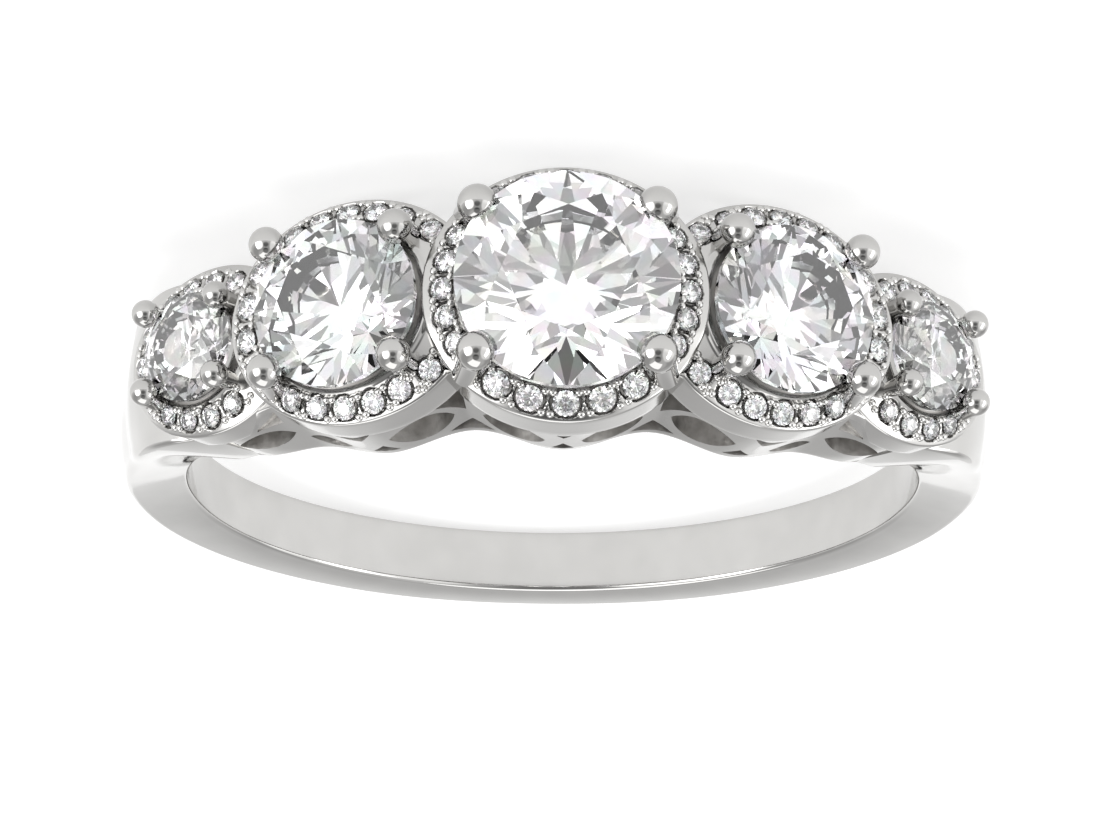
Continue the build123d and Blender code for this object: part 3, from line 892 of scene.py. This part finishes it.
def gallery_surface(steps=420):
    """The slanted outline of one wall, in radius and Z, swept along the head of the ring."""
    known = np.concatenate([-gallery_rows[:0:-1, 0], gallery_rows[:, 0]])
    azimuth = np.linspace(known[0], known[-1], steps)
    foot, top = (smooth_through(known, np.concatenate([column[:0:-1], column]), azimuth)
                 for column in gallery_rows[:, 1:].T)
    foot = foot + (top - foot) * gallery_overrun / (gallery_overrun + gallery_height)
    low = np.full(steps, finger_radius)
    high = np.full(steps, finger_radius + gallery_height)
    corners = np.stack([np.stack(pair, axis=-1) for pair in (
        (low, foot - gallery_wall), (high, top - gallery_wall), (high, top), (low, foot))])
    flat = np.zeros(2)
    radii = (gallery_edge, gallery_edge, gallery_edge, gallery_foot_edge)
    outline = rounded_outline(corners, (flat,) * 4, radii, corner_steps=6, side_steps=(8, 3, 8, 3))
    return radial_point(outline[..., 0].T, azimuth[:, None], outline[..., 1].T)


print("each wall reaches", round(gallery_rows[-1, 0], 1), "degrees to both sides of the head")


# %% Windows
cut_reach = 2.2 * wide["centre"]
# Leaves. Columns: azimuth of the cup and of the joint that the leaf points to, then share of that way and
# rise for its tip, its upper edge, its far tip and its lower edge.
leaf_rows = [
    (0.0, first_joint, (0.19, 0.42), (0.55, 0.60), (0.84, 0.42), (0.62, 0.13)),
    (inner_azimuth, first_joint, (0.15, 0.48), (0.58, 0.62), (0.86, 0.44), (0.50, 0.16)),
    (inner_azimuth, second_joint, (0.46, 0.20), (0.72, 0.31), (1.04, 0.30), (0.80, 0.12)),
    (outer_azimuth, second_joint, (-0.10, 0.46), (0.50, 0.60), (0.83, 0.42), (0.38, 0.26)),
]
# Straight-sided windows. Columns: azimuth of the place, then the corners as degrees past it and rise.
corner_rows = [
    (0.0, (-1.0, 0.77), (1.0, 0.77), (0.0, 0.65)),
    (0.0, (-1.6, 0.14), (1.6, 0.14), (0.0, 0.40)),
    (first_joint, (-3.2, 0.11), (3.4, 0.11), (-0.4, 0.32)),
    (first_joint, (4.9, 0.70), (2.1, 0.60), (0.0, 0.52), (-0.4, 1.10), (2.5, 1.10)),
    (inner_azimuth, (-2.2, 0.14), (2.3, 0.14), (-0.3, 0.33)),
    (inner_azimuth, (7.0, 0.40), (-1.3, 0.85), (2.0, 0.50)),
    (second_joint, (6.4, 0.68), (2.0, 0.66), (1.6, 0.90), (3.6, 0.90)),
]


def arc(start, through, end, steps=24):
    """Points from start to end on the circle through three points, found from equal distances."""
    rows = 2 * np.array([through - start, end - start])
    middle = np.linalg.solve(rows, [through @ through - start @ start, end @ end - start @ start])
    angles = np.unwrap([np.arctan2(*(point - middle)[::-1]) for point in (start, through, end)])
    turn = np.interp(np.linspace(0, 2, steps), (0, 1, 2), angles)
    return middle + np.linalg.norm(start - middle) * np.stack([np.cos(turn), np.sin(turn)], axis=-1)


def window_point(azimuth, rise):
    """A place on the wall as the drawing's X and Y. The rise is a share of the gallery's height."""
    return radial_point(finger_radius + rise * gallery_height, azimuth, 0.0)[:2]


def window_outlines():
    """The leaves beside the cups and the small windows under and over each crossing, on both sides."""
    outlines = []
    for cup_azimuth, joint, *leaf in leaf_rows:
        tip, over, far_tip, under = [
            window_point(cup_azimuth + share * (joint - cup_azimuth), rise) for share, rise in leaf]
        outlines.append(np.concatenate([arc(tip, over, far_tip)[:-1], arc(far_tip, under, tip)[:-1]]))
    for place, *corners in corner_rows:
        outlines.append(np.array([window_point(place + past, rise) for past, rise in corners]))
    flipped = [outline * np.array([-1.0, 1.0]) for outline in outlines if outline[:, 0].mean() > 1e-6]
    return outlines + flipped


def prism(outline):
    """A closed block: the outline at both ends of its reach along the finger axis."""
    ends = [np.column_stack([outline, np.full(len(outline), z)]) for z in (-cut_reach, cut_reach)]
    count = len(outline)
    here = np.arange(count)
    after = (here + 1) % count
    sides = np.stack([here, after, after + count, here + count], axis=1).tolist()
    return np.concatenate(ends), sides + [list(range(count))[::-1], list(range(count, 2 * count))]


def sawn(target, outlines):
    """The target with the prisms taken away by a Boolean modifier, applied, and the cutter removed. Each
    face that is cut takes the number of the saw's material, the second of both objects."""
    mesh = joined("saw", [prism(outline) for outline in outlines])
    for used in (metal, casting_skin):
        mesh.materials.append(used)
    mesh.polygons.foreach_set("material_index", np.ones(len(mesh.polygons), dtype=np.int32))
    target.data.materials.append(casting_skin)
    saw = linked("saw", mesh)
    cut = target.modifiers.new("sawn", "BOOLEAN")
    cut.operation, cut.solver, cut.object = "DIFFERENCE", "EXACT", saw
    done = bpy.data.meshes.new_from_object(target.evaluated_get(bpy.context.evaluated_depsgraph_get()))
    target.modifiers.clear()
    target.data = done
    done.shade_smooth()
    done.set_sharp_from_angle(angle=np.radians(gallery_sharp))
    bpy.data.objects.remove(saw)
    print(target.name, "sawn out, now", len(done.polygons), "faces")


near_wall = gallery_surface()
for side_name, turn in (("near_gallery", 1.0), ("far_gallery", -1.0)):
    wall = piece(side_name, [tube(near_wall * np.array([1.0, 1.0, turn]))], metal,
                 gallery_sharp)
    sawn(wall, window_outlines())

# %% [markdown]
# ## Floor, light and camera
# The floor is a sheet of paper on a light table: it catches a faint shadow, and it also glows, which takes
# most of that shadow away again, as in a picture of jewellery on pure white.

# %% Floor
floor_side = 1.2
paper_glow = 0.62
floor_mesh = bpy.data.meshes.new("floor")
floor_corners = floor_side / 2 * np.array([(-1, -1, 0), (1, -1, 0), (1, 1, 0), (-1, 1, 0)])
floor_mesh.from_pydata(floor_corners.tolist(), [], [(0, 1, 2, 3)])
floor = linked("floor", floor_mesh)
paper, tree, shader = new_material("pale paper")
place = node(tree, "ShaderNodeTexCoord")
fibres = node(tree, "ShaderNodeTexNoise", inputs={"Vector": (place, "Object"), "Scale": 1000 / 2.0})
tone = node(tree, "ShaderNodeMapRange", inputs={"Value": (fibres, "Fac"), "To Min": 0.99, "To Max": 1.0})
tint = node(tree, "ShaderNodeMix", {"data_type": "RGBA", "blend_type": "MULTIPLY"}, {
    "Factor": 1.0, "A": linear("#BEBEBE"), "B": (tone, "Result")})
feed(tree, shader, {"Base Color": (tint, "Result"), "Roughness": 0.8, "Emission Color": linear("#FFFFFF"),
                    "Emission Strength": paper_glow})
floor_mesh.materials.append(paper)
print("the floor is", floor_side, "m wide")

# %% [markdown]
# Polished metal and clear stones show nothing but their surroundings. So the studio is a soft grey room
# that is as bright as the floor along its horizon. Brighter patches of wall stand overhead, behind the ring
# and on both sides of it, and two darker ones where the camera is and over it. The grey draws the edges of
# the facets, and the patches give the stones their sparkle. The picture's plain white needs the plain view
# of colours, without a curve that greys the brightest parts.

# %% World
bpy.context.scene.view_settings.view_transform = "Standard"
world = bpy.data.worlds.new("studio")
bpy.context.scene.world = world
world.use_nodes = True
sky = world.node_tree
sky.nodes.clear()
where = node(sky, "ShaderNodeTexCoord")
sky_base = 0.55
horizon_gain = 0.40
# The sine of the elevation at which the bright horizon has faded into the base.
horizon_height = 0.42
# Soft patches of the studio's walls. Columns: direction, the cosines at which the patch ends and is full,
# and how much brighter or darker than the base it is.
patches = [
    ((0.00, 0.10, 1.00), 0.70, 0.86, 0.25),
    ((0.72, -0.60, 0.34), 0.86, 0.95, 1.90),
    ((-0.85, -0.35, 0.30), 0.72, 0.86, 0.80),
    ((0.32, 0.88, 0.36), 0.90, 0.98, 0.14),
    ((-0.32, 0.88, 0.36), 0.90, 0.98, 0.14),
    ((0.02, -0.91, 0.41), 0.94, 0.98, -0.35),
    ((0.02, -0.42, 0.91), 0.93, 0.98, -0.50),
]
heading = node(sky, "ShaderNodeSeparateXYZ", inputs={"Vector": (where, "Generated")})
horizon = node(sky, "ShaderNodeMapRange", {"interpolation_type": "SMOOTHSTEP"}, {
    "Value": (heading, "Z"), "From Min": 0.0, "From Max": horizon_height, "To Min": sky_base + horizon_gain,
    "To Max": sky_base})
total = (horizon, "Result")
for direction, end_at, full_at, gain in patches:
    toward = unit(np.array(direction))
    facing = node(sky, "ShaderNodeVectorMath", {"operation": "DOT_PRODUCT"}, {
        0: (where, "Generated"), 1: tuple(float(v) for v in toward)})
    patch = node(sky, "ShaderNodeMapRange", {"interpolation_type": "SMOOTHSTEP"}, {
        "Value": (facing, "Value"), "From Min": end_at, "From Max": full_at, "To Min": 0.0, "To Max": gain})
    total = (node(sky, "ShaderNodeMath", {"operation": "ADD"}, {0: (patch, "Result"), 1: total}), "Value")
air = node(sky, "ShaderNodeBackground", inputs={"Color": linear("#FFFFFF"), "Strength": total})
node(sky, "ShaderNodeOutputWorld", inputs={"Surface": (air, "Background")})
print("the studio has", len(patches), "soft patches on its walls")


# %% Soft panels
def soft_panel(name, place, width, depth, power):
    """An area light that looks at the middle of the table. Place and sizes are in metres, power in watts."""
    light = bpy.data.lights.new(name, "AREA")
    light.shape, light.size, light.size_y, light.energy = "RECTANGLE", width, depth, power
    panel = linked(name, light)
    panel.location = place
    panel.rotation_euler = (-Vector(place)).to_track_quat("-Z", "Y").to_euler()
    print(name, "gives", power, "W")


soft_panel("top panel", (0.05, 0.10, 0.35), 0.30, 0.30, 0.35)
soft_panel("left panel", (0.30, -0.15, 0.12), 0.12, 0.25, 0.24)
soft_panel("right panel", (-0.30, -0.10, 0.12), 0.12, 0.25, 0.24)

# %% [markdown]
# The camera was placed by matching the outline of the ring in the picture: 150 mm from the middle of the
# finger hole, almost straight in front of the stones and a quarter of the way up. The picture shows the
# stones at the top, so the camera is rolled to hang upside down over the table. A small shift of the lens
# puts the ring where it is in the frame.

# %% Camera
# Where its right, its top and its back point, and its place in metres.
camera_right = (-0.99965, -0.02634, -0.00104)
camera_up = (0.01182, -0.41292, -0.91069)
camera_back = (0.02356, -0.91038, 0.41309)
camera_place = (0.003534, -0.13493, 0.06383)
lens = bpy.data.cameras.new("camera")
lens.sensor_width = 36.0
lens.lens = 206.2
lens.shift_x = -0.0024
lens.shift_y = 0.0374
lens.clip_start = 0.01
camera = linked("camera", lens)
camera.matrix_world = Matrix((
    (*camera_right, 0), (*camera_up, 0), (*camera_back, 0), (*camera_place, 1))).transposed()
bpy.context.scene.camera = camera
print("the camera is", round(1000 * float(camera.location.z)), "mm over the table")
